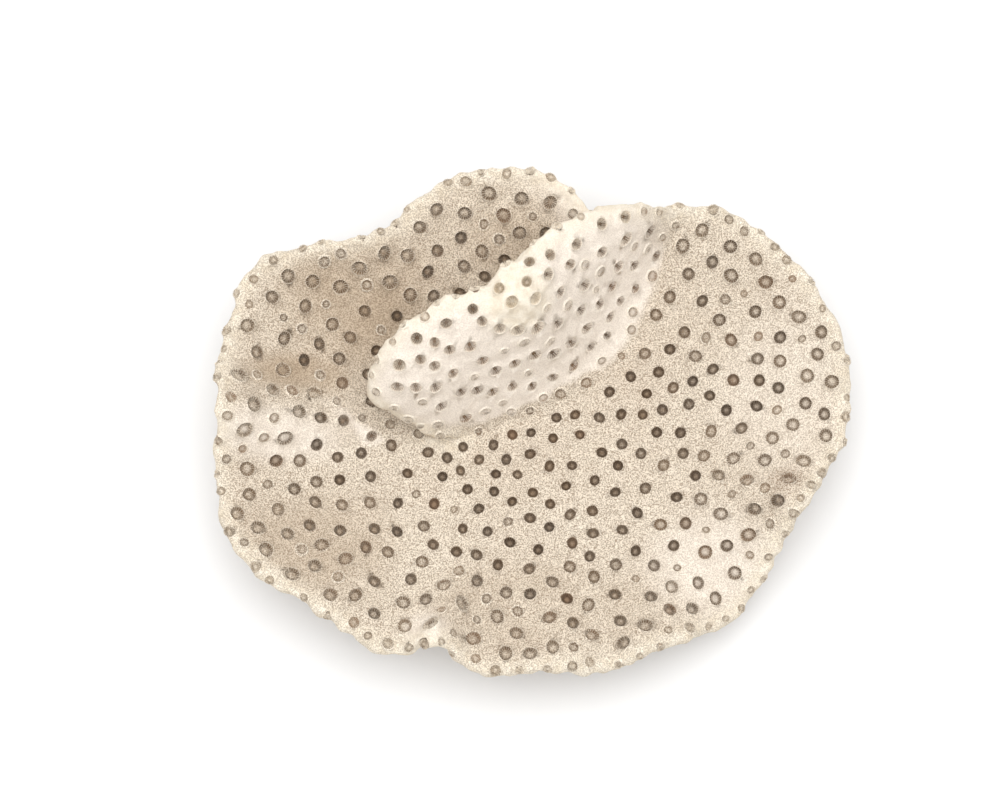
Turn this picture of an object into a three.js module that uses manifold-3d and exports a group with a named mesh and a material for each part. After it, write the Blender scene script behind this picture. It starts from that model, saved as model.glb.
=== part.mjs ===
// A disc coral: the bleached skeleton of one colony, which grew as one piece. It is a thin plate, a shallow
// dish with a wavy margin, and one fold of the plate stands up on it as a lobe that leans over. The upper
// faces carry calices, the small cups that the polyps sat in. The stalk under the plate is cut off flat, and
// the coral stands on that cut. Millimetres, +Z up, origin on the cut, under the middle of the coral's box.
import * as THREE from "three";
import { ConvexHull } from "three/addons/math/ConvexHull.js";
import { mergeVertices } from "three/addons/utils/BufferGeometryUtils.js";
import Module from "manifold-3d";

const { degToRad, radToDeg, lerp, clamp, smoothstep } = THREE.MathUtils;

// The plate, in polar form about the middle of the dish, with bearings in degrees from +X.
const MARGIN_RADII = [
  90, 92, 92.5, 89.5, 86, 81.5, 68, 63, 70, 72, 72.5, 70.5, // every 10 degrees from 0
  67, 68.5, 79, 86, 84.5, 82.5, 81.5, 83.5, 84, 80, 75, 72, // from 120
  70, 63, 67, 66.5, 66, 69.5, 70, 73, 77, 77.5, 78, 83.5, // from 240
];
const MARGIN_RISES = [11, 15, 18, 20, 17, 17, 12, 15, 11, 10, 9, 8]; // every 30 degrees from 0
const FLOOR_HEIGHT = 17; // upper face at the middle of the dish
const DISH_POWER = 2.4; // how late the dish turns up
const PLATE_THICKNESS = 6;
// Ruffles of the margin: each rises or sinks by its height there and starts at a share of the radius.
const FOLDS = [
  { bearing: 176, height: 12, width: 8, start: 0.3 },
  { bearing: 249, height: 8, width: 5, start: 0.6 },
  { bearing: 292, height: -4, width: 3.5, start: 0.62 },
  { bearing: 322, height: -11, width: 12, start: 0.5 },
  { bearing: 346, height: 6.5, width: 4.5, start: 0.55 },
  { bearing: 5, height: -3, width: 9, start: 0.45 },
  { bearing: 130, height: 4, width: 7, start: 0.7 },
];

// The lobe: its foot leaves the plate along a bow from the root, and its rim leans away from that bow.
const LOBE_ROOT = new THREE.Vector2(-21, 1);
const LOBE_BEARING = 42.3;
const LOBE_LENGTH = 87;
const LOBE_BOW = 17.5;
const LOBE_THICKNESS = 6.5;
const LOBE_FOOT_THICKNESS = 3;
const LOBE_BURY = 1.8; // how far the foot runs on inside the plate
const LOBE_RIM = [
  { along: -9, across: 19.5, height: 36 },
  { along: -2, across: 23.2, height: 44 },
  { along: 8.5, across: 24.2, height: 50 },
  { along: 19, across: 21.8, height: 54 },
  { along: 29, across: 18, height: 54 },
  { along: 39, across: 16, height: 56 },
  { along: 52, across: 15.8, height: 57 },
  { along: 64.5, across: 13.8, height: 55 },
  { along: 76, across: 8.5, height: 48 },
  { along: 87, across: 1.5, height: 35 },
];
const LOBE_FREE_EDGE = new THREE.Vector2(-7, 8.5); // it hangs clear between the root and the tip
const LOBE_LIFT = { height: 6.5, along: [0, 13] }; // how far its foot hangs over the plate near the root
const LOBE_NOSE = [8, 34]; // up to the first it bulges like a nose, from the second on its foot is hollow
// Swells and hollows of its face: a ridge down the middle, with a full nose before it and a hollow after it.
const LOBE_SWELLS = [
  { along: 33, across: 3, height: 3.5, width: 9 },
  { along: 41, across: 7, height: 2, width: 7 },
  { along: 8, across: 10, height: 2, width: 10 },
  { along: 60, across: 0, height: -3.5, width: 14 },
];
const LOBE_STRETCH = 1.5; // length up its slope for each millimetre across in plan

// The stalk: radius and height of its profile, from the cut to inside the plate.
const STALK_PROFILE = [
  [28, 0],
  [27, 4],
  [30, 8],
  [38, 12],
  [44, 15],
];
const STALK_FLUTES = [
  { count: 3, depth: 0.07 },
  { count: 7, depth: 0.04 },
];
const STALK_SIDES = 22;

// Calices: the first of each pair is in the middle of the dish, the second at the margin.
const CALICE_RADIUS = [1.3, 1.95];
const CALICE_WALL = 0.2;
const CALICE_RISE = [0.2, 1.0];
const CALICE_DEPTH = [1.3, 1.6];
const CALICE_SIDES = 5;
const CALICE_SPACING = [4.8, 5.6]; // least distance between centres
const COLLAR = { share: 1.2, extra: 0.5 }; // foot of the collar, from the calice's radius
const CLEAR = 1.26; // no other vertex comes nearer to a calice's centre than this many collar radii
const CALICE_CROWDING = [1.12, 1]; // they are set in rounds, each closer than the one before
const DARTS = 8000;

const EDGE_STEP = 4.4; // spacing of vertices along a margin
const EDGE_INSET = [1.3, 2.4]; // how far the rounded edge reaches over the upper and the lower face
const EDGE_DEPTH = 0.45; // the edge's widest line, as a share of the thickness under the upper face
const PLATE_GAPS = { upper: 9, lower: 14 }; // spacing of the plain vertices, apart from the calices
const LOBE_GAPS = { upper: 6, lower: 8 };

// Pseudo-random numbers from 0 to 1, the same on every run.
function dice(seed) {
  let state = seed;
  return () => {
    state = (state + 0x6d2b79f5) | 0;
    let t = Math.imul(state ^ (state >>> 15), 1 | state);
    t = (t + Math.imul(t ^ (t >>> 7), 61 | t)) ^ t;
    return ((t ^ (t >>> 14)) >>> 0) / 4294967296;
  };
}

// Smooth value at a bearing, from values at equal steps round the circle.
function cyclic(values, bearing) {
  const n = values.length;
  const at = ((((bearing / 360) * n) % n) + n) % n;
  const i = Math.floor(at);
  const t = at - i;
  const [a, b, c, d] = [-1, 0, 1, 2].map((k) => values[(i + k + n) % n]);
  return b + 0.5 * t * (c - a + t * (2 * a - 5 * b + 4 * c - d + t * (3 * (b - c) + d - a)));
}

function bearingGap(a, b) {
  return ((((a - b + 180) % 360) + 360) % 360) - 180;
}

// Where a plan point lies on the plate: its bearing, and its share of the way from the middle to the margin.
function onPlate(p) {
  const bearing = radToDeg(Math.atan2(p.y, p.x));
  return { bearing, share: p.length() / cyclic(MARGIN_RADII, bearing) };
}

function plateHeight(p) {
  const { bearing, share } = onPlate(p);
  const dish = cyclic(MARGIN_RISES, bearing) * Math.min(share, 1.05) ** DISH_POWER;
  const ruffle = FOLDS.reduce((sum, fold) => {
    const off = bearingGap(bearing, fold.bearing) / fold.width;
    return sum + fold.height * Math.exp(-off * off) * smoothstep(share, fold.start, 1.1);
  }, 0);
  return FLOOR_HEIGHT + dish + ruffle;
}

// The lobe's own plan axes: x along it from its root, y across it towards the rim.
function toLobe(p) {
  return p.clone().sub(LOBE_ROOT).rotateAround(new THREE.Vector2(), -degToRad(LOBE_BEARING));
}

function fromLobe(p) {
  return p.clone().rotateAround(new THREE.Vector2(), degToRad(LOBE_BEARING)).add(LOBE_ROOT);
}

const rimLine = new THREE.CubicInterpolant(
  LOBE_RIM.map((r) => r.along),
  LOBE_RIM.flatMap((r) => [r.across, r.height]),
  2,
);

function lobeFoot(along) {
  return -LOBE_BOW * Math.sin((Math.PI * along) / LOBE_LENGTH);
}

// Share of the way up the lobe, 0 along its foot and 1 along its rim, at a point in its own plan axes.
function upLobe(p) {
  const foot = lobeFoot(p.x);
  const [rim] = rimLine.evaluate(p.x);
  return (p.y - foot) / (rim - foot);
}

function lobeHeight(p) {
  const foot = plateHeight(fromLobe(new THREE.Vector2(p.x, lobeFoot(p.x))));
  const up = upLobe(p);
  const [, rim] = rimLine.evaluate(p.x);
  const nose = up < 0 ? 1.5 * up : Math.sin((Math.PI / 2) * Math.min(up, 1));
  const hollow = 0.22 * up + 0.78 * smoothstep(up, 0, 0.8);
  const swell = LOBE_SWELLS.reduce((sum, s) => {
    const off = Math.hypot(p.x - s.along, p.y - s.across) / s.width;
    return sum + s.height * Math.exp(-off * off);
  }, 0);
  const climb = lerp(nose, hollow, smoothstep(p.x, ...LOBE_NOSE));
  const lift = LOBE_LIFT.height * (1 - smoothstep(p.x, ...LOBE_LIFT.along)) * (1 - clamp(up, 0, 1));
  return foot + (rim - foot) * climb + swell * clamp(3 * up, 0, 1) + lift;
}

// A sheet's pattern is its plan, stretched along y by its slope so that distances on it are nearly true.
const plate = {
  plan: (p) => p,
  height: (p) => plateHeight(p),
  thickness: () => PLATE_THICKNESS,
  gaps: PLATE_GAPS,
  towardsMargin: (p) => onPlate(p).share,
  keepsCalice: (p) => {
    const own = toLobe(p);
    const inFoot = own.x > -12 && own.x < LOBE_LENGTH + 4 && upLobe(own) > -0.1 && upLobe(own) < 0.8;
    return !inFoot;
  },
};
const lobe = {
  plan: (p) => fromLobe(new THREE.Vector2(p.x, p.y / LOBE_STRETCH)),
  height: (p) => lobeHeight(new THREE.Vector2(p.x, p.y / LOBE_STRETCH)),
  thickness: (p) => lerp(LOBE_FOOT_THICKNESS, LOBE_THICKNESS, smoothstep(lobe.towardsMargin(p), 0, 0.4)),
  gaps: LOBE_GAPS,
  towardsMargin: (p) => upLobe(new THREE.Vector2(p.x, p.y / LOBE_STRETCH)),
  keepsCalice: (p) => p.x < 80 && lobe.towardsMargin(p) > (p.x < 8 ? 0 : 0.17),
};

// A point of a sheet: depth 0 is on its upper face and depth 1 on its lower face.
function placeOn(sheet, p, depth) {
  const { x, y } = sheet.plan(p);
  const top = sheet.height(p);
  if (depth === 0) return new THREE.Vector3(x, y, top);
  const steep = 1 / frameAt(sheet, p).normal.z;
  return new THREE.Vector3(x, y, top - depth * sheet.thickness(p) * Math.min(steep, 1.7));
}

// The upper face's point, normal and two tangents at a pattern point.
function frameAt(sheet, p) {
  const step = 0.25;
  const point = placeOn(sheet, p, 0);
  const ahead = placeOn(sheet, new THREE.Vector2(p.x + step, p.y), 0).sub(point);
  const aside = placeOn(sheet, new THREE.Vector2(p.x, p.y + step), 0).sub(point);
  const normal = ahead.clone().cross(aside).normalize();
  const along = ahead.normalize();
  return { point, normal, along, across: normal.clone().cross(along) };
}

function plateOutline() {
  const mean = MARGIN_RADII.reduce((sum, r) => sum + r) / MARGIN_RADII.length;
  const count = Math.round((2 * Math.PI * mean * 1.05) / EDGE_STEP);
  return Array.from({ length: count }, (_, k) => {
    const bearing = (360 * k) / count;
    const radius = cyclic(MARGIN_RADII, bearing);
    return new THREE.Vector2(radius, 0).rotateAround(new THREE.Vector2(), degToRad(bearing));
  });
}

function lobeOutline() {
  const footSteps = 9;
  const foot = Array.from({ length: footSteps }, (_, k) => {
    const along = (LOBE_LENGTH * k) / (footSteps - 1);
    return [along, lobeFoot(along) - LOBE_BURY];
  });
  const rim = LOBE_RIM.map((r) => [r.along, r.across]).reverse();
  const corners = [...foot, ...rim, LOBE_FREE_EDGE.toArray()];
  const curve = new THREE.CatmullRomCurve3(
    corners.map(([x, y]) => new THREE.Vector3(x, y * LOBE_STRETCH, 0)),
    true,
  );
  const count = Math.round(curve.getLength() / EDGE_STEP);
  return curve
    .getSpacedPoints(count)
    .slice(0, count)
    .map((p) => new THREE.Vector2(p.x, p.y));
}

// A closed ring of pattern points, moved inwards.
function inset(ring, distance) {
  return ring.map((p, k) => {
    const before = ring.at(k - 1);
    const after = ring[(k + 1) % ring.length];
    const along = after.clone().sub(before).normalize();
    return new THREE.Vector2(p.x - along.y * distance, p.y + along.x * distance);
  });
}

function inside(ring, p) {
  return ring.reduce((odd, a, k) => {
    const b = ring.at(k - 1);
    const spans = a.y > p.y !== b.y > p.y;
    return spans && p.x < ((b.x - a.x) * (p.y - a.y)) / (b.y - a.y) + a.x ? !odd : odd;
  }, false);
}

// Points thrown at random into a ring, each kept if accept says so.
function scatter(ring, count, random, accept) {
  const box = new THREE.Box2().setFromPoints(ring);
  for (let k = 0; k < count; k++) {
    const x = lerp(box.min.x, box.max.x, random());
    const p = new THREE.Vector2(x, lerp(box.min.y, box.max.y, random()));
    if (inside(ring, p)) accept(p);
  }
}

function caliceAt(sheet, centre, random) {
  const share = clamp(sheet.towardsMargin(centre), 0, 1);
  const radius = lerp(...CALICE_RADIUS, share ** 1.5) * lerp(0.9, 1.1, random());
  return {
    centre,
    radius,
    collar: COLLAR.share * radius + COLLAR.extra,
    spacing: lerp(...CALICE_SPACING, share),
    rise: lerp(...CALICE_RISE, share * share),
    depth: lerp(...CALICE_DEPTH, share),
    turn: 2 * Math.PI * random(),
  };
}

function scatterCalices(sheet, ring, random) {
  const calices = [];
  const border = ring.flatMap((p, k) => [p, p.clone().lerp(ring.at(k - 1), 0.5)]);
  for (const crowding of CALICE_CROWDING)
    scatter(ring, DARTS, random, (p) => {
      if (!sheet.keepsCalice(p)) return;
      const made = caliceAt(sheet, p, random);
      const free = calices.every((c) => {
        const touching = CLEAR * Math.max(c.collar, made.collar) + Math.min(c.collar, made.collar);
        return c.centre.distanceTo(p) > Math.max(crowding * c.spacing, touching);
      });
      const room = made.collar + 0.55 * EDGE_STEP;
      if (free && border.every((e) => e.distanceTo(p) > room)) calices.push(made);
    });
  return calices;
}

function isClear(calices, p) {
  return calices.every((c) => c.centre.distanceTo(p) > CLEAR * c.collar);
}

// Plain points that fill what the ring and the calices leave open.
function scatterPlain(ring, calices, gap, random) {
  const plain = [];
  scatter(ring, DARTS, random, (p) => {
    if (isClear(calices, p) && [...ring, ...plain].every((q) => q.distanceTo(p) > gap)) plain.push(p);
  });
  return plain;
}

// Triangles between pattern points, inside the ring: the Delaunay triangulation, which is the underside of
// the convex hull of the points lifted on to a paraboloid.
function triangulate(points, ring) {
  const lifted = points.map((p) => new THREE.Vector3(p.x, p.y, p.lengthSq() / 100));
  const index = new Map(lifted.map((p, k) => [p, k]));
  const triangles = [];
  for (const face of new ConvexHull().setFromPoints(lifted).faces) {
    const corners = [0, 1, 2].map((k) => index.get(face.getEdge(k).head().point));
    const [a, b, c] = corners.map((k) => points[k]);
    const area = b.clone().sub(a).cross(c.clone().sub(a));
    const middle = a.clone().add(b).add(c).divideScalar(3);
    if (face.normal.z < 0 && Math.abs(area) > 1e-6 && inside(ring, middle))
      triangles.push(area > 0 ? corners : corners.reverse());
  }
  return triangles;
}

// A calice's vertices: the corners of its collar on the sheet, each with its crest, and the pit's bottom.
function caliceVertices(sheet, calice) {
  const { point, normal, along, across } = frameAt(sheet, calice.centre);
  const out = (rise) => point.clone().addScaledVector(normal, rise);
  const wall = calice.radius + CALICE_WALL;
  const corners = Array.from({ length: CALICE_SIDES }, (_, k) => {
    const angle = calice.turn + (2 * Math.PI * k) / CALICE_SIDES;
    const way = new THREE.Vector2(Math.cos(angle), Math.sin(angle));
    const p = calice.centre.clone().addScaledVector(way, calice.collar);
    const crest = out(calice.rise)
      .addScaledVector(along, wall * way.x)
      .addScaledVector(across, wall * way.y);
    return { p, place: placeOn(sheet, p, 0), crest };
  });
  return [...corners, { p: calice.centre, place: out(-calice.depth), isPit: true }];
}

// A sheet as a closed solid: the upper face with its calices, the rounded edge and the plain lower face.
function buildSheet(sheet, outline, seed) {
  const random = dice(seed);
  const upperRing = inset(outline, EDGE_INSET[0]);
  const lowerRing = inset(outline, EDGE_INSET[1]);
  const calices = scatterCalices(sheet, outline, random);
  const on = (depth) => (p) => ({ p, place: placeOn(sheet, p, depth) });
  const upper = [
    ...outline.map(on(EDGE_DEPTH)),
    ...upperRing.filter((p) => isClear(calices, p)).map(on(0)),
    ...calices.flatMap((calice) => caliceVertices(sheet, calice)),
    ...scatterPlain(upperRing, calices, sheet.gaps.upper, random).map(on(0)),
  ];
  const lower = [...lowerRing, ...scatterPlain(lowerRing, [], sheet.gaps.lower, random)].map(on(1));
  const crests = upper.filter((v) => v.crest).map((v) => ({ corner: v, place: v.crest }));
  const crestOver = new Map(crests.map((c, k) => [c.corner, upper.length + k]));
  const lowerStart = upper.length + crests.length;
  // A triangle from a collar's side to the pit becomes the collar's slope and the wall of the pit.
  const sink = (triangle) => {
    const at = triangle.findIndex((k) => upper[k].isPit);
    if (at < 0) return [triangle];
    const [pit, a, b] = [0, 1, 2].map((k) => triangle[(at + k) % 3]);
    const [overA, overB] = [a, b].map((k) => crestOver.get(upper[k]));
    return [[a, b, overB], [a, overB, overA], [overA, overB, pit]];
  };
  const below = (triangle) => triangle.map((k) => k + lowerStart).reverse();
  const faces = [
    ...triangulate(upper.map((v) => v.p), outline).flatMap(sink),
    ...triangulate(lower.map((v) => v.p), lowerRing).map(below),
  ];
  outline.forEach((_, k) => {
    const next = (k + 1) % outline.length;
    faces.push([k, lowerStart + k, next], [next, lowerStart + k, lowerStart + next]);
  });
  const places = [...upper, ...crests, ...lower].flatMap((v) => v.place.toArray());
  return new THREE.BufferGeometry()
    .setAttribute("position", new THREE.Float32BufferAttribute(places, 3))
    .setIndex(faces.flat());
}

function buildStalk() {
  const [, top] = STALK_PROFILE.at(-1);
  const profile = [[0, 0], ...STALK_PROFILE, [0, top]].map(([r, z]) => new THREE.Vector2(r, z));
  const geometry = new THREE.LatheGeometry(profile, STALK_SIDES).rotateX(Math.PI / 2);
  const places = geometry.getAttribute("position");
  for (let k = 0; k < places.count; k++) {
    const turn = Math.atan2(places.getY(k), places.getX(k));
    const swell = STALK_FLUTES.reduce((s, f) => s * (1 + f.depth * Math.cos(f.count * turn)), 1);
    places.setXYZ(k, places.getX(k) * swell, places.getY(k) * swell, places.getZ(k));
  }
  geometry.deleteAttribute("normal");
  geometry.deleteAttribute("uv");
  return mergeVertices(geometry, 1e-4);
}

const wasm = await Module();
wasm.setup();

function solid(geometry) {
  const vertProperties = geometry.getAttribute("position").array;
  const triVerts = new Uint32Array(geometry.index.array);
  return new wasm.Manifold(new wasm.Mesh({ numProp: 3, vertProperties, triVerts }));
}

function geometryOf(made) {
  const { vertProperties, triVerts } = made.getMesh();
  return new THREE.BufferGeometry()
    .setAttribute("position", new THREE.BufferAttribute(vertProperties, 3))
    .setIndex(new THREE.BufferAttribute(triVerts, 1));
}

const grown = solid(buildSheet(plate, plateOutline(), 11))
  .add(solid(buildSheet(lobe, lobeOutline(), 5)))
  .add(solid(buildStalk()));
const geometry = geometryOf(grown);
geometry.computeBoundingBox();
const middle = geometry.boundingBox.getCenter(new THREE.Vector3());
geometry.translate(-middle.x, -middle.y, 0);
geometry.computeVertexNormals();

const limestone = new THREE.MeshStandardMaterial({ color: 0xd9cbb6, roughness: 0.95, metalness: 0 });
const coral = new THREE.Mesh(geometry, limestone);
coral.name = "coral";

const object = new THREE.Group();
object.add(coral);
export default object;
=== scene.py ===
import math
import random

import bmesh
import bpy
from mathutils import Matrix, Vector, kdtree, noise
from mathutils.bvhtree import BVHTree


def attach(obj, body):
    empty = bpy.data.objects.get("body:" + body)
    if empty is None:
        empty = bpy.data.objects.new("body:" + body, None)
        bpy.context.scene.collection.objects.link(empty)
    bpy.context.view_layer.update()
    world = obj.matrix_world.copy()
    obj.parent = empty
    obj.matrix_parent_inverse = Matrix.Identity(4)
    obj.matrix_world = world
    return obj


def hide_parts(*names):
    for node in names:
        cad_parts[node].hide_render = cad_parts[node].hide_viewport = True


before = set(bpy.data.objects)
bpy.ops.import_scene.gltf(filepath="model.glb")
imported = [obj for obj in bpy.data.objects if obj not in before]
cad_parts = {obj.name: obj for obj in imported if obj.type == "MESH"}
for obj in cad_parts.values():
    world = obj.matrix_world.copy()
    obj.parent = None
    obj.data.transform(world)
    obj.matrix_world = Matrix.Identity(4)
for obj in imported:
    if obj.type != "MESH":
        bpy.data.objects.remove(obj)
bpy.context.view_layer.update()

bl_info = {
    "name": "Mushroom coral",
    "version": (1, 0, 0),
    "blender": (4, 5, 0),
    "location": "3D View > Sidebar > Coral",
    "description": "Grows the coral's skeleton, calices and septa over its packed solid, on a plain stage",
    "category": "Object",
}

SKELETON = "coral_skeleton"
SEPTA = "calice_septa"
BUDS = "calice_buds"
LIMESTONE = "coral limestone"
GRAIN = "granular_limestone"
MM = 0.001

ATTRIBUTES = ("margin", "light_and_bleach", "shade_and_stain", "shade_and_deposit", "pale", "tint")
CALICE_SIDES = 5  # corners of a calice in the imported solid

# Profiles of a calice from its collar in to its columella. Each row is a radius in shares of the collar's foot, a
# height in shares of the calice's rise (above the sheet) or of its depth (below it), how much painted shade and brown
# deposit it has there, and how pale.
SMALL_CALICE = [
    (0.97, 0.5, 0.0, 0.1),
    (0.90, 1.0, 0.2, 0.1),
    (0.84, 0.3, 0.9, 0.0),
    (0.76, -0.45, 1.0, 0.0),
    (0.56, -0.5, 0.94, 0.0),
    (0.36, -0.42, 0.84, 0.0),
    (0.0, -0.38, 0.8, 0.0),
]
GROWN_CALICE = [
    (0.98, 0.7, 0.0, 0.5),
    (0.92, 1.0, 0.05, 0.8),
    (0.85, 0.5, 0.6, 0.3),
    (0.75, -0.1, 0.9, 0.0),
    (0.58, -0.2, 0.72, 0.0),
    (0.46, -0.02, 0.3, 0.0),
    (0.0, 0.06, 0.2, 0.1),
]
LOBE_CALICE = [
    (0.98, 0.6, 0.0, 0.4),
    (0.92, 1.0, 0.0, 0.8),
    (0.84, 0.5, 0.2, 0.6),
    (0.73, -0.1, 0.7, 0.1),
    (0.56, -0.4, 0.95, 0.0),
    (0.34, -0.55, 1.0, 0.0),
    (0.0, -0.5, 0.9, 0.0),
]
MOUND_SHARE = 0.6  # of a calice's rise, which the sheet round it makes by swelling

LONG_SEPTUM, SHORT_SEPTUM = 0.34, 0.55  # how near the axis they reach, in shares of the calice's radius
# How much painted shade and brown deposit a septum has at the outer and the inner end of its edge and along its foot,
# in those three kinds of calice; the painted shade is deepest along the foot, between the septa.
SEPTUM_SHADE_AND_DEPOSIT = {"outer": (0.45, 0.0, 0.0), "inner": (0.75, 0.2, 0.1), "foot": (0.9, 0.35, 0.3)}

# Profile of a bud, a young or worn calice that sits on the sheet: radius and height in shares of its own radius, then
# how much painted shade and deposit it has and how pale.
BUD = [
    (1.45, -0.25, 0.0, 0.3),
    (1.15, 0.14, 0.0, 0.5),
    (1.0, 0.28, 0.05, 0.9),
    (0.88, 0.2, 0.6, 0.3),
    (0.74, 0.04, 0.95, 0.0),
    (0.45, 0.06, 0.4, 0.0),
]
BUD_SIDES = 12

# The lobe in plan: where its foot leaves the plate, the bearing and length of that line, and how far it bows.
LOBE_ROOT = Vector((-25.4, -1.7)) * MM
LOBE_BEARING = math.radians(42.3)
LOBE_LENGTH = 87 * MM
LOBE_BOW = 17.5 * MM
LOBE_FOOT_HEIGHT = 19 * MM
WORN_CREST = {"at": Vector((-5, 28, 52)) * MM, "reach": 13 * MM}

RUST_MARK = {"at": Vector((69, -18, 24)) * MM, "reach": 8 * MM, "least": 0.2}
DIRT_MARK = {"at": Vector((-42, 50.5, 27)) * MM, "reach": 2.2 * MM, "least": 0.1}

# Patches of the plate, as a middle in plan, two radii and a strength.
# Painted light with some real bleaching: paler patches where the plate faces the light.
LIGHT_AND_BLEACH_PATCHES = [
    ((-70, -4), (26, 10), 0.8),  # left ridge: painted light on its lower flank, which faces the light
    ((48, -38), (24, 20), 0.7),  # where the margin turns down: painted light, as it turns towards the light
    ((-29, -58), (9, 9), 0.8),  # beside the notch: painted light on the lit flank of its fold
    ((68, 8), (24, 34), 0.35),
]
# Painted shade with some real stain: browner, darker patches in the dishes beside the lobe and behind the left ridge.
SHADE_AND_STAIN_PATCHES = [
    ((-63, 14), (20, 9), 1.0),  # behind the left ridge: painted shade on its upper flank, with stain
    ((-48, 32), (32, 26), 0.8),
    ((-58, -34), (30, 22), 0.5),
    ((-5, 48), (22, 16), 0.5),
    ((0, -50), (40, 18), 0.3),
]


class CoralShape(bpy.types.PropertyGroup):
    """Sizes of the coral's surface."""

    levels: bpy.props.IntProperty(
        name="Smoothing levels", description="Subdivision of the sheets between the calices", default=2, min=1, max=3
    )
    lump_height: bpy.props.FloatProperty(
        name="Lump height", description="Unevenness of the whole skeleton", default=0.4 * MM, unit="LENGTH"
    )
    lump_size: bpy.props.FloatProperty(
        name="Lump size", description="Width of that unevenness", default=5.0 * MM, unit="LENGTH"
    )
    margin_lump_height: bpy.props.FloatProperty(
        name="Margin lump height", description="How far the margin's lumps stand out", default=1.3 * MM, unit="LENGTH"
    )
    margin_lump_size: bpy.props.FloatProperty(
        name="Margin lump size", description="Width of the margin's lumps", default=3.8 * MM, unit="LENGTH"
    )
    margin_width: bpy.props.FloatProperty(
        name="Margin width", description="Width of the creamy, lumpy margin", default=7.0 * MM, unit="LENGTH"
    )
    bud_spacing: bpy.props.FloatProperty(
        name="Bud spacing", description="Least distance from a bud to a calice", default=5.6 * MM, unit="LENGTH"
    )
    bud_radius: bpy.props.FloatProperty(
        name="Bud radius", description="Mean radius of a bud's crest", default=1.5 * MM, unit="LENGTH"
    )
    septa: bpy.props.IntProperty(
        name="Septa", description="Radial walls in each calice, long and short ones in turn", default=16, min=6, max=32
    )


class CoralFinish(bpy.types.PropertyGroup):
    """Colours and grain of the coral and its stage."""

    limestone: bpy.props.FloatVectorProperty(
        name="Limestone", description="Skeleton between the calices", subtype="COLOR", default=(0.735, 0.635, 0.515)
    )
    limestone_shade: bpy.props.FloatVectorProperty(
        name="Limestone shade", description="Hollows between its granules", subtype="COLOR", default=(0.29, 0.215, 0.15)
    )
    cream: bpy.props.FloatVectorProperty(
        name="Cream", description="Margins and crests", subtype="COLOR", default=(0.97, 0.885, 0.745)
    )
    ochre: bpy.props.FloatVectorProperty(
        name="Ochre", description="Hollows of the worn margins", subtype="COLOR", default=(0.76, 0.635, 0.455)
    )
    # Paler colour of the lobe and the patches of painted light, with their real bleaching.
    lit_and_bleached: bpy.props.FloatVectorProperty(
        name="Bleached", description="Lobe and bleached patches", subtype="COLOR", default=(0.94, 0.845, 0.74)
    )
    # Browner colour of the patches of painted shade, with their real stain.
    shade_and_stain: bpy.props.FloatVectorProperty(
        name="Stain", description="Browner patches of the plate", subtype="COLOR", default=(0.49, 0.375, 0.26)
    )
    # The calices' browns stand for their deposits together with the painted shade in their pits.
    calice: bpy.props.FloatVectorProperty(
        name="Calice", description="Floor of the darkest calices", subtype="COLOR", default=(0.105, 0.06, 0.03)
    )
    calice_tan: bpy.props.FloatVectorProperty(
        name="Calice tan", description="Floor of the palest calices", subtype="COLOR", default=(0.29, 0.185, 0.1)
    )
    rust: bpy.props.FloatVectorProperty(
        name="Rust", description="Reddish tint of some calices", subtype="COLOR", default=(0.27, 0.175, 0.11)
    )
    dirt: bpy.props.FloatVectorProperty(
        name="Dirt", description="Small mark on the margin", subtype="COLOR", default=(0.05, 0.055, 0.06)
    )
    granule: bpy.props.FloatProperty(
        name="Granule", description="Width of the skeleton's granules", default=0.31 * MM, unit="LENGTH"
    )
    floor: bpy.props.FloatVectorProperty(
        name="Floor", description="Plain floor", subtype="COLOR", default=(0.86, 0.86, 0.86)
    )


def fade(value, start, end):
    """Smooth step from 0 at start to 1 at end."""
    t = min(1.0, max(0.0, (value - start) / (end - start)))
    return t * t * (3 - 2 * t)


def blend(first, second, share):
    return first + (second - first) * share


def on_lobe(point):
    """From 0 on the plate to 1 on the lobe, which climbs steeply from its foot."""
    own = Matrix.Rotation(-LOBE_BEARING, 2) @ (point.xy - LOBE_ROOT)
    out = own.y + LOBE_BOW * math.sin(math.pi * own.x / LOBE_LENGTH)
    climb = (point.z - LOBE_FOOT_HEIGHT) / max(out, MM)
    ends = fade(own.x, -20 * MM, -15 * MM) * (1 - fade(own.x, 72 * MM, 88 * MM))
    return fade(out, -1.0 * MM, 2.0 * MM) * fade(climb, 0.25, 0.45) * ends


def patch_at(patches, point):
    """Strength of the strongest patch at a point."""
    strongest = 0.0
    for (x, y), (along, aside), strength in patches:
        out = math.hypot((point.x / MM - x) / along, (point.y / MM - y) / aside)
        strongest = max(strongest, strength * (1 - fade(out, 0.3, 1.0)))
    return strongest


# Painted light together with real bleaching: the lobe, which faces the light, and the paler patches.
def light_and_bleach_at(point):
    return max(on_lobe(point), patch_at(LIGHT_AND_BLEACH_PATCHES, point))


def worn_at(point):
    """From 0 to 1 on the lobe's worn crest."""
    return 1 - fade((point - WORN_CREST["at"]).length, 0.4 * WORN_CREST["reach"], WORN_CREST["reach"])


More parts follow.
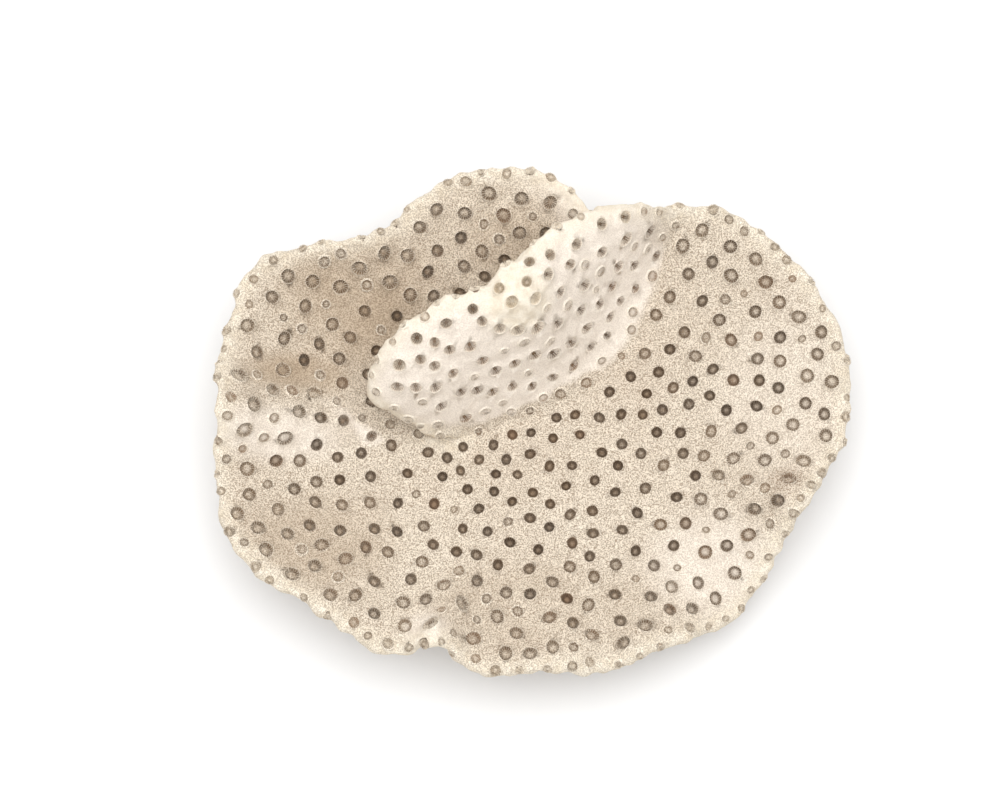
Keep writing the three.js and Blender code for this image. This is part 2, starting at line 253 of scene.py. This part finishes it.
class Calice:
    """One cup: the middle of its crest, its pit's bottom and its radius."""

    def __init__(self, crest, pit, radius, dice):
        self.crest = crest
        self.pit = pit
        self.axis = (crest - pit).normalized()
        self.side = self.axis.orthogonal().normalized()
        self.side.rotate(Matrix.Rotation(dice.uniform(0, math.tau), 3, self.axis))
        self.radius = radius
        self.reach = radius
        self.rise = 0.0
        self.depth = 0.0
        self.oval = dice.uniform(0.0, 0.1)
        self.tint = dice.random()
        self.strength = dice.uniform(0.8, 1.0) * (1 - 0.6 * worn_at(crest))
        self.growth = fade(radius, 1.6 * MM, 2.05 * MM)
        self.light_and_bleach = on_lobe(crest)
        self.loop = []

    def seat(self, foot):
        """Measures the rise and the depth from where the collar meets the sheet."""
        self.rise = (self.crest - foot).dot(self.axis)
        self.depth = (foot - self.pit).dot(self.axis)

    def over(self, point):
        """Height of a point over the sheet, along the axis, and the way to it from the axis."""
        offset = point - self.at(0.0)
        level = offset.dot(self.axis)
        return level, offset - self.axis * level

    def height(self, share):
        return share * (self.rise if share > 0 else self.depth)

    def at(self, height):
        """Point of the axis at a height over the sheet."""
        return self.crest + self.axis * (height - self.rise)

    def styled(self, small, grown, lobe):
        """A value for this calice, from those for a small one, a grown one and one on the lobe."""
        return blend(blend(small, grown, self.growth), lobe, self.light_and_bleach)

    def profile(self):
        rows = zip(SMALL_CALICE, GROWN_CALICE, LOBE_CALICE)
        return [[self.styled(*values) for values in zip(*row)] for row in rows]

    def stretch(self, way):
        """How much wider than round the calice is in a direction."""
        return 1 + self.oval * (2 * way.dot(self.side) ** 2 - 1)

    def frame(self):
        """Matrix from a cup that opens along +Z to this one's place, with its wider way along X."""
        turn = Matrix((self.side, self.axis.cross(self.side), self.axis)).transposed().to_4x4()
        return Matrix.Translation(self.crest) @ turn @ Matrix.Diagonal((1 + self.oval, 1 - self.oval, 1, 1))


def is_even(values, slack=0.03):
    return max(values) - min(values) < slack * max(values)


def take_out_calices(bm):
    """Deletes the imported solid's faceted calices, which leaves holes, and returns what they were."""
    dice = random.Random(3)
    calices = []
    doomed = []
    for pit in bm.verts:
        ring = [edge.other_vert(pit) for edge in pit.link_edges]
        if len(ring) != CALICE_SIDES or not is_even([edge.calc_length() for edge in pit.link_edges]):
            continue
        crest = middle_of(ring)
        radii = [(v.co - crest).length for v in ring]
        calice = Calice(crest, pit.co.copy(), sum(radii) / len(radii), dice)
        if not is_even(radii) or calice.axis.dot(pit.normal) < 0.5:
            continue
        calices.append(calice)
        doomed += [pit, *ring]
    if len(calices) < 100:
        raise RuntimeError(f"only {len(calices)} calices were found in the packed solid")
    bmesh.ops.delete(bm, geom=doomed, context="VERTS")
    return calices


def margin_points(bm):
    """Points along the convex edges between upper and lower faces."""
    points = []
    for edge in bm.edges:
        if len(edge.link_faces) != 2 or not edge.is_convex:
            continue
        low, high = sorted(face.normal.z for face in edge.link_faces)
        if low < -0.05 and high > 0.05:
            a, b = (v.co for v in edge.verts)
            points += [a.copy(), a.lerp(b, 0.5), b.copy()]
    return points


def tree_of(points):
    tree = kdtree.KDTree(len(points))
    for index, point in enumerate(points):
        tree.insert(point, index)
    tree.balance()
    return tree


def boundary_loops(bm):
    """The closed loops of boundary edges, each as its vertices in order."""
    waiting = dict.fromkeys(edge for edge in bm.edges if edge.is_boundary)
    loops = []
    while waiting:
        edge = next(iter(waiting))
        del waiting[edge]
        loop = list(edge.verts)
        while True:
            onward = next((e for e in loop[-1].link_edges if e in waiting), None)
            if onward is None:
                break
            del waiting[onward]
            loop.append(onward.other_vert(loop[-1]))
        loops.append(loop[:-1] if loop[-1] is loop[0] else loop)
    return loops


def middle_of(verts):
    return sum((v.co for v in verts), Vector()) / len(verts)


def new_piece(name, bm):
    mesh = bpy.data.meshes.new(name)
    bm.to_mesh(mesh)
    bm.free()
    piece = bpy.data.objects.new(name, mesh)
    bpy.context.scene.collection.objects.link(piece)
    return piece


def subdivided(bm, levels):
    """The mesh after a subdivision surface, as a new bmesh."""
    piece = new_piece("subdividing", bm)
    modifier = piece.modifiers.new("Subdivision", "SUBSURF")
    modifier.levels = modifier.render_levels = levels
    graph = bpy.context.evaluated_depsgraph_get()
    mesh = piece.evaluated_get(graph).to_mesh()
    made = bmesh.new()
    made.from_mesh(mesh)
    piece.evaluated_get(graph).to_mesh_clear()
    rough = piece.data
    bpy.data.objects.remove(piece)
    bpy.data.meshes.remove(rough)
    return made


def margin_at(point, margin, shape):
    """From 0 on the open sheets to 1 at a margin or on the lobe's worn crest."""
    near = 1 - fade(margin.find(point)[2], 0.15 * shape.margin_width, shape.margin_width)
    return max(near, worn_at(point))


def weather(bm, shape, margin):
    """Marks how marginal each vertex is, and how much painted light with bleaching and painted shade with stain it
    gets.
    """
    near, light_and_bleach, shade_and_stain = (bm.verts.layers.float[name] for name in ("margin", "light_and_bleach", "shade_and_stain"))
    for vert in bm.verts:
        vert[near] = margin_at(vert.co, margin, shape)
        vert[light_and_bleach] = light_and_bleach_at(vert.co)
        vert[shade_and_stain] = patch_at(SHADE_AND_STAIN_PATCHES, vert.co)


def roughen(bm, shape):
    """Moves the vertices along their normals into soft lumps, stronger at the margin. The cut stays flat."""
    near = bm.verts.layers.float["margin"]
    bm.normal_update()
    moves = []
    for vert in bm.verts:
        lump = noise.noise(vert.co / shape.lump_size) + 0.5 * noise.noise(vert.co * 2.3 / shape.lump_size)
        knob = noise.noise(vert.co / shape.margin_lump_size + Vector((7, 3, 1)))
        knob += 0.9 * noise.noise(vert.co * 0.45 / shape.margin_lump_size)
        height = shape.lump_height * lump + shape.margin_lump_height * vert[near] ** 2 * (knob + 0.1)
        moves.append(vert.normal * height * fade(vert.co.z, 0.3 * MM, 3 * MM))
    for vert, move in zip(bm.verts, moves):
        vert.co += move


def seat_calices(bm, calices, shape):
    """Gives every calice its hole's loop, roughens the sheet, moves the calices with it and swells it round them."""
    tree = tree_of([calice.crest for calice in calices])
    seated = []
    for loop in boundary_loops(bm):
        centre = middle_of(loop)
        calice = calices[tree.find(centre)[1]]
        calice.loop = loop
        seated.append((calice, centre))
    roughen(bm, shape)
    for calice, before in seated:
        centre = middle_of(calice.loop)
        calice.crest += centre - before
        calice.pit += centre - before
        calice.seat(centre)
        calice.reach = sum((v.co - centre).length for v in calice.loop) / len(calice.loop)
        for vert in calice.loop:
            level, way = calice.over(vert.co)
            vert.co = calice.at(level) + way.normalized() * calice.reach
    tree = tree_of([calice.crest for calice in calices])
    for vert in bm.verts:
        spot, index, distance = tree.find(vert.co)
        calice = calices[index]
        if distance < 3 * calice.reach and vert.normal.dot(calice.axis) > 0.3:
            out = calice.over(vert.co)[1].length
            swell = 1 - fade(out, calice.reach, calice.reach + 1.8 * MM)
            vert.co += calice.axis * calice.rise * MOUND_SHARE * swell


def extrude_holes(bm):
    """Extrudes all boundary edges and returns the new vertices, each with the vertex that it came from."""
    rim = [edge for edge in bm.edges if edge.is_boundary]
    old = {vert for edge in rim for vert in edge.verts}
    made = bmesh.ops.extrude_edge_only(bm, edges=rim)["geom"]
    verts = [item for item in made if isinstance(item, bmesh.types.BMVert)]
    return [(vert, next(v for v in (e.other_vert(vert) for e in vert.link_edges) if v in old)) for vert in verts]


def sink_calices(bm, calices):
    """Extrudes every hole inwards, ring by ring, into a calice with a raised crest and a columella."""
    shade_and_deposit, pale, tint = (bm.verts.layers.float[name] for name in ("shade_and_deposit", "pale", "tint"))
    profiles = {calice: calice.profile() for calice in calices}
    seats = {}
    for calice in calices:
        for vert in calice.loop:
            seats[vert] = (calice, calice.over(vert.co)[1].normalized())
    for index in range(len(SMALL_CALICE)):
        for vert, source in extrude_holes(bm):
            calice, way = seats[vert] = seats[source]
            radius, height, shade_and_deposit_share, paleness = profiles[calice][index]
            uneven = 1 + 0.07 * noise.noise(calice.crest / MM + 1.5 * way)
            out = way * radius * calice.reach * uneven * calice.stretch(way)
            vert.co = calice.at(calice.height(height)) + out
            # Painted shade in the pit together with its brown deposit.
            vert[shade_and_deposit] = shade_and_deposit_share * calice.strength
            vert[pale] = paleness
            vert[tint] = calice.tint
    tops = dict.fromkeys(vert for edge in bm.edges if edge.is_boundary for vert in edge.verts)
    bmesh.ops.remove_doubles(bm, verts=list(tops), dist=0.01 * MM)


def grow_skeleton(shape):
    """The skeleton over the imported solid, the calices that it carries and its margins as a search tree."""
    bm = bmesh.new()
    bm.from_mesh(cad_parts["coral"].data)
    bmesh.ops.remove_doubles(bm, verts=bm.verts, dist=0.02 * MM)
    bm.normal_update()
    calices = take_out_calices(bm)
    margin = tree_of(margin_points(bm))
    crease = bm.edges.layers.float.new("crease_edge")
    for edge in bm.edges:
        if all(v.co.z < 0.05 * MM for v in edge.verts):
            edge[crease] = 1.0
    bm = subdivided(bm, shape.levels)
    for name in ATTRIBUTES:
        bm.verts.layers.float.new(name)
    weather(bm, shape, margin)
    seat_calices(bm, calices, shape)
    sink_calices(bm, calices)
    for face in bm.faces:
        face.smooth = True
    return new_piece(SKELETON, bm), calices, margin


def blade(bm, inner, turn):
    """One septum, a wedge with a sharp upper edge, in a calice of radius 1 and depth 1 with its crest at height 0."""
    made = bmesh.ops.create_cone(
        bm, cap_ends=True, segments=3, radius1=1.0, radius2=1.0, depth=1.0, matrix=Matrix.Rotation(math.pi / 2, 4, "Y")
    )["verts"]
    for vert in made:
        outward = vert.co.x > 0
        is_foot = vert.co.z < 0.1
        width = 0.17 if outward else 0.09
        side = math.copysign(width, vert.co.y) if is_foot else 0.0
        edge = -0.03 if outward else -0.38
        vert.co = Vector((1.0 if outward else inner, side, -0.95 if is_foot else edge))
    bmesh.ops.rotate(bm, verts=made, cent=(0, 0, 0), matrix=Matrix.Rotation(turn, 3, "Z"))


def septa_set(count):
    """All septa of one calice of radius 1 and depth 1, as a mesh."""
    bm = bmesh.new()
    pairs = count // 2
    blade(bm, LONG_SEPTUM, 0.0)
    blade(bm, SHORT_SEPTUM, math.pi / pairs)
    bmesh.ops.spin(
        bm,
        geom=bm.verts[:] + bm.edges[:] + bm.faces[:],
        cent=(0, 0, 0),
        axis=(0, 0, 1),
        angle=2 * math.pi * (pairs - 1) / pairs,
        steps=pairs - 1,
        use_duplicate=True,
    )
    bmesh.ops.recalc_face_normals(bm, faces=bm.faces)
    mesh = bpy.data.meshes.new("septa_set")
    bm.to_mesh(mesh)
    bm.free()
    return mesh


def grow_septa(calices, shape, margin):
    """The septa of every calice, as one piece."""
    unit = septa_set(shape.septa)
    bm = bmesh.new()
    layers = {name: bm.verts.layers.float.new(name) for name in ATTRIBUTES}
    dice = random.Random(8)
    for calice in calices:
        start = len(bm.verts)
        bm.from_mesh(unit)
        bm.verts.ensure_lookup_table()
        verts = bm.verts[start:]
        outer, inner, foot = (calice.styled(*SEPTUM_SHADE_AND_DEPOSIT[part]) for part in ("outer", "inner", "foot"))
        near = margin_at(calice.crest, margin, shape)
        for vert in verts:
            edge = blend(inner, outer, fade(vert.co.xy.length, LONG_SEPTUM, 1.0))
            # Painted shade down between the septa, with their deposit.
            vert[layers["shade_and_deposit"]] = calice.strength * (foot if vert.co.z < -0.5 else edge)
            vert[layers["pale"]] = 0.6 * calice.growth
            vert[layers["tint"]] = calice.tint
            vert[layers["margin"]] = near
            vert[layers["light_and_bleach"]] = calice.light_and_bleach
        reach = 0.86 * calice.reach
        size = Matrix.Diagonal((reach, reach, 0.82 * (calice.rise + calice.depth), 1.0))
        turn = Matrix.Rotation(dice.uniform(0, math.tau), 4, "Z")
        bmesh.ops.transform(bm, verts=verts, matrix=calice.frame() @ size @ turn)
    bpy.data.meshes.remove(unit)
    return new_piece(SEPTA, bm)


def find_gaps(piece, calices, shape):
    """Buds for the bare places between the calices and along the margins, on the upper faces only."""
    tree = tree_of([calice.crest for calice in calices])
    near = piece.data.attributes["margin"].data
    dice = random.Random(5)
    spots = [v for v in piece.data.vertices if v.normal.z > 0.25 and v.co.z > 12 * MM and near[v.index].value < 0.97]
    dice.shuffle(spots)
    buds = []
    for vert in spots:
        if tree.find(vert.co)[2] < shape.bud_spacing:
            continue
        if any((bud.crest - vert.co).length < 0.85 * shape.bud_spacing for bud in buds):
            continue
        radius = shape.bud_radius * dice.uniform(0.75, 1.15)
        rise = vert.normal * 0.3 * radius
        bud = Calice(vert.co + rise, vert.co - rise, radius, dice)
        bud.seat(vert.co)
        bud.growth = 1.0
        buds.append(bud)
    return buds


def bud_shape():
    """One bud of radius 1, as a mesh with its painted shade and deposit in its pit, and its paleness."""
    bm = bmesh.new()
    shade_and_deposit, pale = (bm.verts.layers.float.new(name) for name in ("shade_and_deposit", "pale"))
    bmesh.ops.create_circle(bm, segments=BUD_SIDES, radius=BUD[0][0])
    made = bm.verts[:]
    rim = bm.edges[:]
    for radius, height, shade_and_deposit_share, paleness in BUD:
        for vert in made:
            vert.co = Vector((vert.co.x, vert.co.y, 0)).normalized() * radius
            vert.co.z = height
            vert[shade_and_deposit] = shade_and_deposit_share
            vert[pale] = paleness
        geometry = bmesh.ops.extrude_edge_only(bm, edges=rim)["geom"]
        made = [item for item in geometry if isinstance(item, bmesh.types.BMVert)]
        rim = [item for item in geometry if isinstance(item, bmesh.types.BMEdge) and item.is_boundary]
    for vert in made:
        vert[shade_and_deposit] = 0.5 * shade_and_deposit_share
        vert[pale] = paleness
    bmesh.ops.pointmerge(bm, verts=made, merge_co=(0, 0, height))
    bmesh.ops.recalc_face_normals(bm, faces=bm.faces)
    for face in bm.faces:
        face.smooth = True
    mesh = bpy.data.meshes.new("bud")
    bm.to_mesh(mesh)
    bm.free()
    return mesh


def drape(vert, bud, ground):
    """Sets a bud's vertex, given in the bud's own axes, at its height over the skeleton's surface."""
    height = vert.co.z * bud.radius
    place = bud.frame() @ Vector((vert.co.x * bud.radius, vert.co.y * bud.radius, 0))
    hit = ground.ray_cast(place + bud.axis * 2 * MM, -bud.axis, 4 * MM)[0]
    if hit is None:
        hit = ground.find_nearest(place)[0]
        height = min(height, -0.1 * MM)
    vert.co = hit + bud.axis * height


def grow_buds(buds, skeleton, shape, margin):
    """All buds, as one piece."""
    unit = bud_shape()
    ground = BVHTree.FromObject(skeleton, bpy.context.evaluated_depsgraph_get())
    bm = bmesh.new()
    for name in ATTRIBUTES:
        bm.verts.layers.float.new(name)
    for bud in buds:
        start = len(bm.verts)
        bm.from_mesh(unit)
        bm.verts.ensure_lookup_table()
        layers = {name: bm.verts.layers.float[name] for name in ATTRIBUTES}
        near = margin_at(bud.crest, margin, shape)
        for vert in bm.verts[start:]:
            drape(vert, bud, ground)
            vert[layers["shade_and_deposit"]] *= bud.strength
            vert[layers["tint"]] = bud.tint
            vert[layers["margin"]] = near
            vert[layers["light_and_bleach"]] = light_and_bleach_at(bud.crest)
    bpy.data.meshes.remove(unit)
    return new_piece(BUDS, bm)


def link(tree, source, target):
    tree.links.new(source, target)


def node(tree, kind, **values):
    made = tree.nodes.new(kind)
    for name, value in values.items():
        setattr(made, name, value)
    return made


def mixed(tree, factor, first, second, blend="MIX"):
    """A colour mix. Each input is a socket or a plain value."""
    mix = node(tree, "ShaderNodeMix", data_type="RGBA", blend_type=blend)
    for socket, value in ((mix.inputs[0], factor), (mix.inputs[6], first), (mix.inputs[7], second)):
        if isinstance(value, bpy.types.NodeSocket):
            link(tree, value, socket)
        elif isinstance(value, (int, float)):
            socket.default_value = value
        else:
            socket.default_value = (*value, 1.0)
    return mix.outputs[2]


def scaled(tree, value, factor, offset=0.0):
    made = node(tree, "ShaderNodeMath", operation="MULTIPLY_ADD", use_clamp=True)
    link(tree, value, made.inputs[0])
    made.inputs[1].default_value = factor
    made.inputs[2].default_value = offset
    return made.outputs[0]


def times(tree, first, second):
    made = node(tree, "ShaderNodeMath", operation="MULTIPLY")
    link(tree, first, made.inputs[0])
    link(tree, second, made.inputs[1])
    return made.outputs[0]


def ramp(tree, value, start, end):
    """Smooth step of a value from 0 at start to 1 at end."""
    made = node(tree, "ShaderNodeMapRange", interpolation_type="SMOOTHSTEP")
    link(tree, value, made.inputs["Value"])
    made.inputs["From Min"].default_value = start
    made.inputs["From Max"].default_value = end
    return made.outputs["Result"]


def attribute(tree, name):
    return node(tree, "ShaderNodeAttribute", attribute_name=name).outputs["Fac"]


def noise_texture(tree, place, scale, detail, distortion):
    """Plain noise. The scale is a socket or a value."""
    made = node(tree, "ShaderNodeTexNoise")
    link(tree, place, made.inputs["Vector"])
    if isinstance(scale, bpy.types.NodeSocket):
        link(tree, scale, made.inputs["Scale"])
    else:
        made.inputs["Scale"].default_value = scale
    made.inputs["Detail"].default_value = detail
    made.inputs["Distortion"].default_value = distortion
    return made.outputs["Fac"]


def granular_group():
    """Shader group for the granular skeleton: its specks as a mask and a height, and its broad blotches."""
    group = bpy.data.node_groups.new(GRAIN, "ShaderNodeTree")
    group.interface.new_socket("Granules", in_out="INPUT", socket_type="NodeSocketFloat")
    for name in ("Hollow", "Clump", "Blotch", "Height"):
        group.interface.new_socket(name, in_out="OUTPUT", socket_type="NodeSocketFloat")
    granules = node(group, "NodeGroupInput").outputs["Granules"]
    outlet = node(group, "NodeGroupOutput")
    place = node(group, "ShaderNodeTexCoord").outputs["Object"]
    specks = noise_texture(group, place, granules, 1.0, 0.5)
    clumps = noise_texture(group, place, 420.0, 2.0, 0.0)
    blotch = noise_texture(group, place, 45.0, 4.0, 0.0)
    hollow = ramp(group, specks, 0.47, 0.58)
    link(group, hollow, outlet.inputs["Hollow"])
    link(group, scaled(group, clumps, 3.0, -1.0), outlet.inputs["Clump"])
    link(group, scaled(group, blotch, 2.2, -0.6), outlet.inputs["Blotch"])
    link(group, scaled(group, hollow, -1.0, 1.0), outlet.inputs["Height"])
    return group


def stone_colour(tree, finish, grain):
    """Colour of the sheets: painted shade with stain and painted light with bleaching in patches, cream at margins and
    crests, with dark specks.
    """
    blotch = grain.outputs["Blotch"]
    light_and_bleach, margin = attribute(tree, "light_and_bleach"), attribute(tree, "margin")
    stone = mixed(tree, scaled(tree, blotch, 0.4), finish.limestone, finish.cream)
    shaded_and_stained = times(tree, attribute(tree, "shade_and_stain"), scaled(tree, blotch, -0.5, 1.0))
    stone = mixed(tree, shaded_and_stained, stone, finish.shade_and_stain)
    stone = mixed(tree, scaled(tree, light_and_bleach, 0.9), stone, finish.lit_and_bleached)
    worn = mixed(tree, scaled(tree, grain.outputs["Clump"], 0.5), finish.cream, finish.ochre)
    stone = mixed(tree, scaled(tree, margin, 0.95), stone, worn)
    stone = mixed(tree, scaled(tree, attribute(tree, "pale"), 0.8), stone, finish.cream)
    specked = times(tree, scaled(tree, light_and_bleach, -0.6, 0.82), scaled(tree, margin, -0.4, 1.0))
    return mixed(tree, times(tree, grain.outputs["Hollow"], specked), stone, finish.limestone_shade)


def calice_colour(tree, finish, stone):
    """Colour of the calices' floors, from dark brown to tan and rust, over that of the stone; the brown stands for
    deposits and for painted shade in the pits.
    """
    shade_and_deposit, tint = attribute(tree, "shade_and_deposit"), attribute(tree, "tint")
    floor = mixed(tree, scaled(tree, tint, 0.6), finish.calice, finish.calice_tan)
    rusty = times(tree, ramp(tree, tint, 0.84, 0.98), scaled(tree, shade_and_deposit, 1.0))
    return mixed(tree, rusty, mixed(tree, shade_and_deposit, stone, floor), finish.rust)


def marked(tree, colour, place, grain, mark, paint):
    """A colour with a ragged mark round a point."""
    away = node(tree, "ShaderNodeVectorMath", operation="DISTANCE")
    link(tree, place, away.inputs[0])
    away.inputs[1].default_value = mark["at"]
    near = ramp(tree, away.outputs["Value"], mark["reach"], 0.3 * mark["reach"])
    return mixed(tree, times(tree, near, scaled(tree, grain.outputs["Hollow"], 0.7, mark["least"])), colour, paint)


def coral_material(finish):
    material = bpy.data.materials.new(LIMESTONE)
    material.use_nodes = True
    tree = material.node_tree
    shader = tree.nodes["Principled BSDF"]
    shader.inputs["Roughness"].default_value = 0.92
    shader.inputs["Specular IOR Level"].default_value = 0.05
    grain = node(tree, "ShaderNodeGroup", node_tree=granular_group())
    grain.inputs["Granules"].default_value = 1.0 / finish.granule
    place = node(tree, "ShaderNodeTexCoord").outputs["Object"]
    colour = calice_colour(tree, finish, stone_colour(tree, finish, grain))
    colour = marked(tree, colour, place, grain, RUST_MARK, finish.rust)
    colour = marked(tree, colour, place, grain, DIRT_MARK, finish.dirt)
    link(tree, colour, shader.inputs["Base Color"])
    bump = node(tree, "ShaderNodeBump")
    bump.inputs["Strength"].default_value = 0.7
    bump.inputs["Distance"].default_value = 0.2 * MM
    link(tree, grain.outputs["Height"], bump.inputs["Height"])
    link(tree, bump.outputs["Normal"], shader.inputs["Normal"])
    return material


def settings():
    scene = bpy.context.scene
    return scene.coral_shape, scene.coral_finish


def dress(piece):
    """Gives a piece the coral's one material and lets it ride on the part."""
    limestone = bpy.data.materials.get(LIMESTONE) or coral_material(settings()[1])
    piece.data.materials.append(limestone)
    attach(piece, "root")


class Grown:
    """What the first operators leave for those after them."""

    skeleton = None
    margin = None
    calices = []
    buds = []


class CORAL_OT_grow_skeleton(bpy.types.Operator):
    """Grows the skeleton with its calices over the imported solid"""

    bl_idname = "coral.grow_skeleton"
    bl_label = "Grow skeleton"

    def execute(self, context):
        piece, Grown.calices, Grown.margin = grow_skeleton(settings()[0])
        Grown.skeleton = piece
        dress(piece)
        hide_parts("coral")
        return {"FINISHED"}


class CORAL_OT_grow_buds(bpy.types.Operator):
    """Sets young and worn calices in the gaps and along the margins"""

    bl_idname = "coral.grow_buds"
    bl_label = "Grow buds"

    def execute(self, context):
        shape = settings()[0]
        if Grown.skeleton is None:
            raise RuntimeError("the skeleton comes first, because the buds sit on it")
        Grown.buds = find_gaps(Grown.skeleton, Grown.calices, shape)
        dress(grow_buds(Grown.buds, Grown.skeleton, shape, Grown.margin))
        return {"FINISHED"}


class CORAL_OT_grow_septa(bpy.types.Operator):
    """Grows the thin radial walls inside every calice"""

    bl_idname = "coral.grow_septa"
    bl_label = "Grow septa"

    def execute(self, context):
        if not Grown.calices:
            raise RuntimeError("the skeleton comes first, because its calices hold the septa")
        dress(grow_septa(Grown.calices + Grown.buds, settings()[0], Grown.margin))
        return {"FINISHED"}


def area_light(name, place, target, size, power, colour=(1, 1, 1)):
    data = bpy.data.lights.new(name, "AREA")
    data.shape = "DISK"
    data.size = size
    data.energy = power
    data.color = colour
    lamp = bpy.data.objects.new(name, data)
    lamp.location = place
    lamp.rotation_euler = (Vector(target) - Vector(place)).to_track_quat("-Z", "Y").to_euler()
    bpy.context.scene.collection.objects.link(lamp)


class CORAL_OT_set_stage(bpy.types.Operator):
    """Sets the floor, the light and the camera"""

    bl_idname = "coral.set_stage"
    bl_label = "Set stage"

    def execute(self, context):
        scene = context.scene
        finish = settings()[1]
        bm = bmesh.new()
        bmesh.ops.create_circle(bm, cap_ends=True, segments=64, radius=3.0)
        floor = new_piece("floor", bm)
        paint = bpy.data.materials.new("plain floor")
        paint.use_nodes = True
        shader = paint.node_tree.nodes["Principled BSDF"]
        shader.inputs["Base Color"].default_value = (*finish.floor, 1.0)
        shader.inputs["Roughness"].default_value = 0.9
        floor.data.materials.append(paint)

        world = bpy.data.worlds.new("soft room")
        world.use_nodes = True
        world.node_tree.nodes["Background"].inputs["Color"].default_value = (1, 1, 1, 1)
        world.node_tree.nodes["Background"].inputs["Strength"].default_value = 0.66
        scene.world = world
        middle = (0, 0, 0.03)
        area_light("key", (-0.03, 0.02, 1.3), middle, 1.6, 17.5)
        scene.view_settings.view_transform = "Standard"
        scene.view_settings.look = "None"

        tilt = math.radians(78.0)
        distance = 0.9
        upward = Vector((0, math.sin(tilt), math.cos(tilt)))
        aim = Vector((-10.0 * MM, 0, 30.0 * MM)) + upward * 5.6 * MM
        data = bpy.data.cameras.new("camera")
        data.sensor_width = 36.0
        data.lens = 36.0 * distance / (994 * 0.27 * MM)
        camera = bpy.data.objects.new("camera", data)
        camera.location = aim + Vector((0, -math.cos(tilt), math.sin(tilt))) * distance
        camera.rotation_euler = (math.pi / 2 - tilt, 0, 0)
        scene.collection.objects.link(camera)
        scene.camera = camera
        return {"FINISHED"}


class CORAL_PT_panel(bpy.types.Panel):
    """Lists the coral's settings and steps"""

    bl_idname = "CORAL_PT_panel"
    bl_label = "Mushroom coral"
    bl_space_type = "VIEW_3D"
    bl_region_type = "UI"
    bl_category = "Coral"

    def draw(self, context):
        for group in settings():
            for name in group.__annotations__:
                self.layout.prop(group, name)
        for step in STEPS:
            self.layout.operator(step.bl_idname)


STEPS = (CORAL_OT_grow_skeleton, CORAL_OT_grow_buds, CORAL_OT_grow_septa, CORAL_OT_set_stage)
CLASSES = (CoralShape, CoralFinish, *STEPS, CORAL_PT_panel)


def register():
    for cls in CLASSES:
        bpy.utils.register_class(cls)
    bpy.types.Scene.coral_shape = bpy.props.PointerProperty(type=CoralShape)
    bpy.types.Scene.coral_finish = bpy.props.PointerProperty(type=CoralFinish)


def unregister():
    del bpy.types.Scene.coral_finish
    del bpy.types.Scene.coral_shape
    for cls in reversed(CLASSES):
        bpy.utils.unregister_class(cls)


def main():
    register()
    bpy.ops.coral.grow_skeleton()
    bpy.ops.coral.grow_buds()
    bpy.ops.coral.grow_septa()
    bpy.ops.coral.set_stage()


if __name__ == "__main__":
    main()
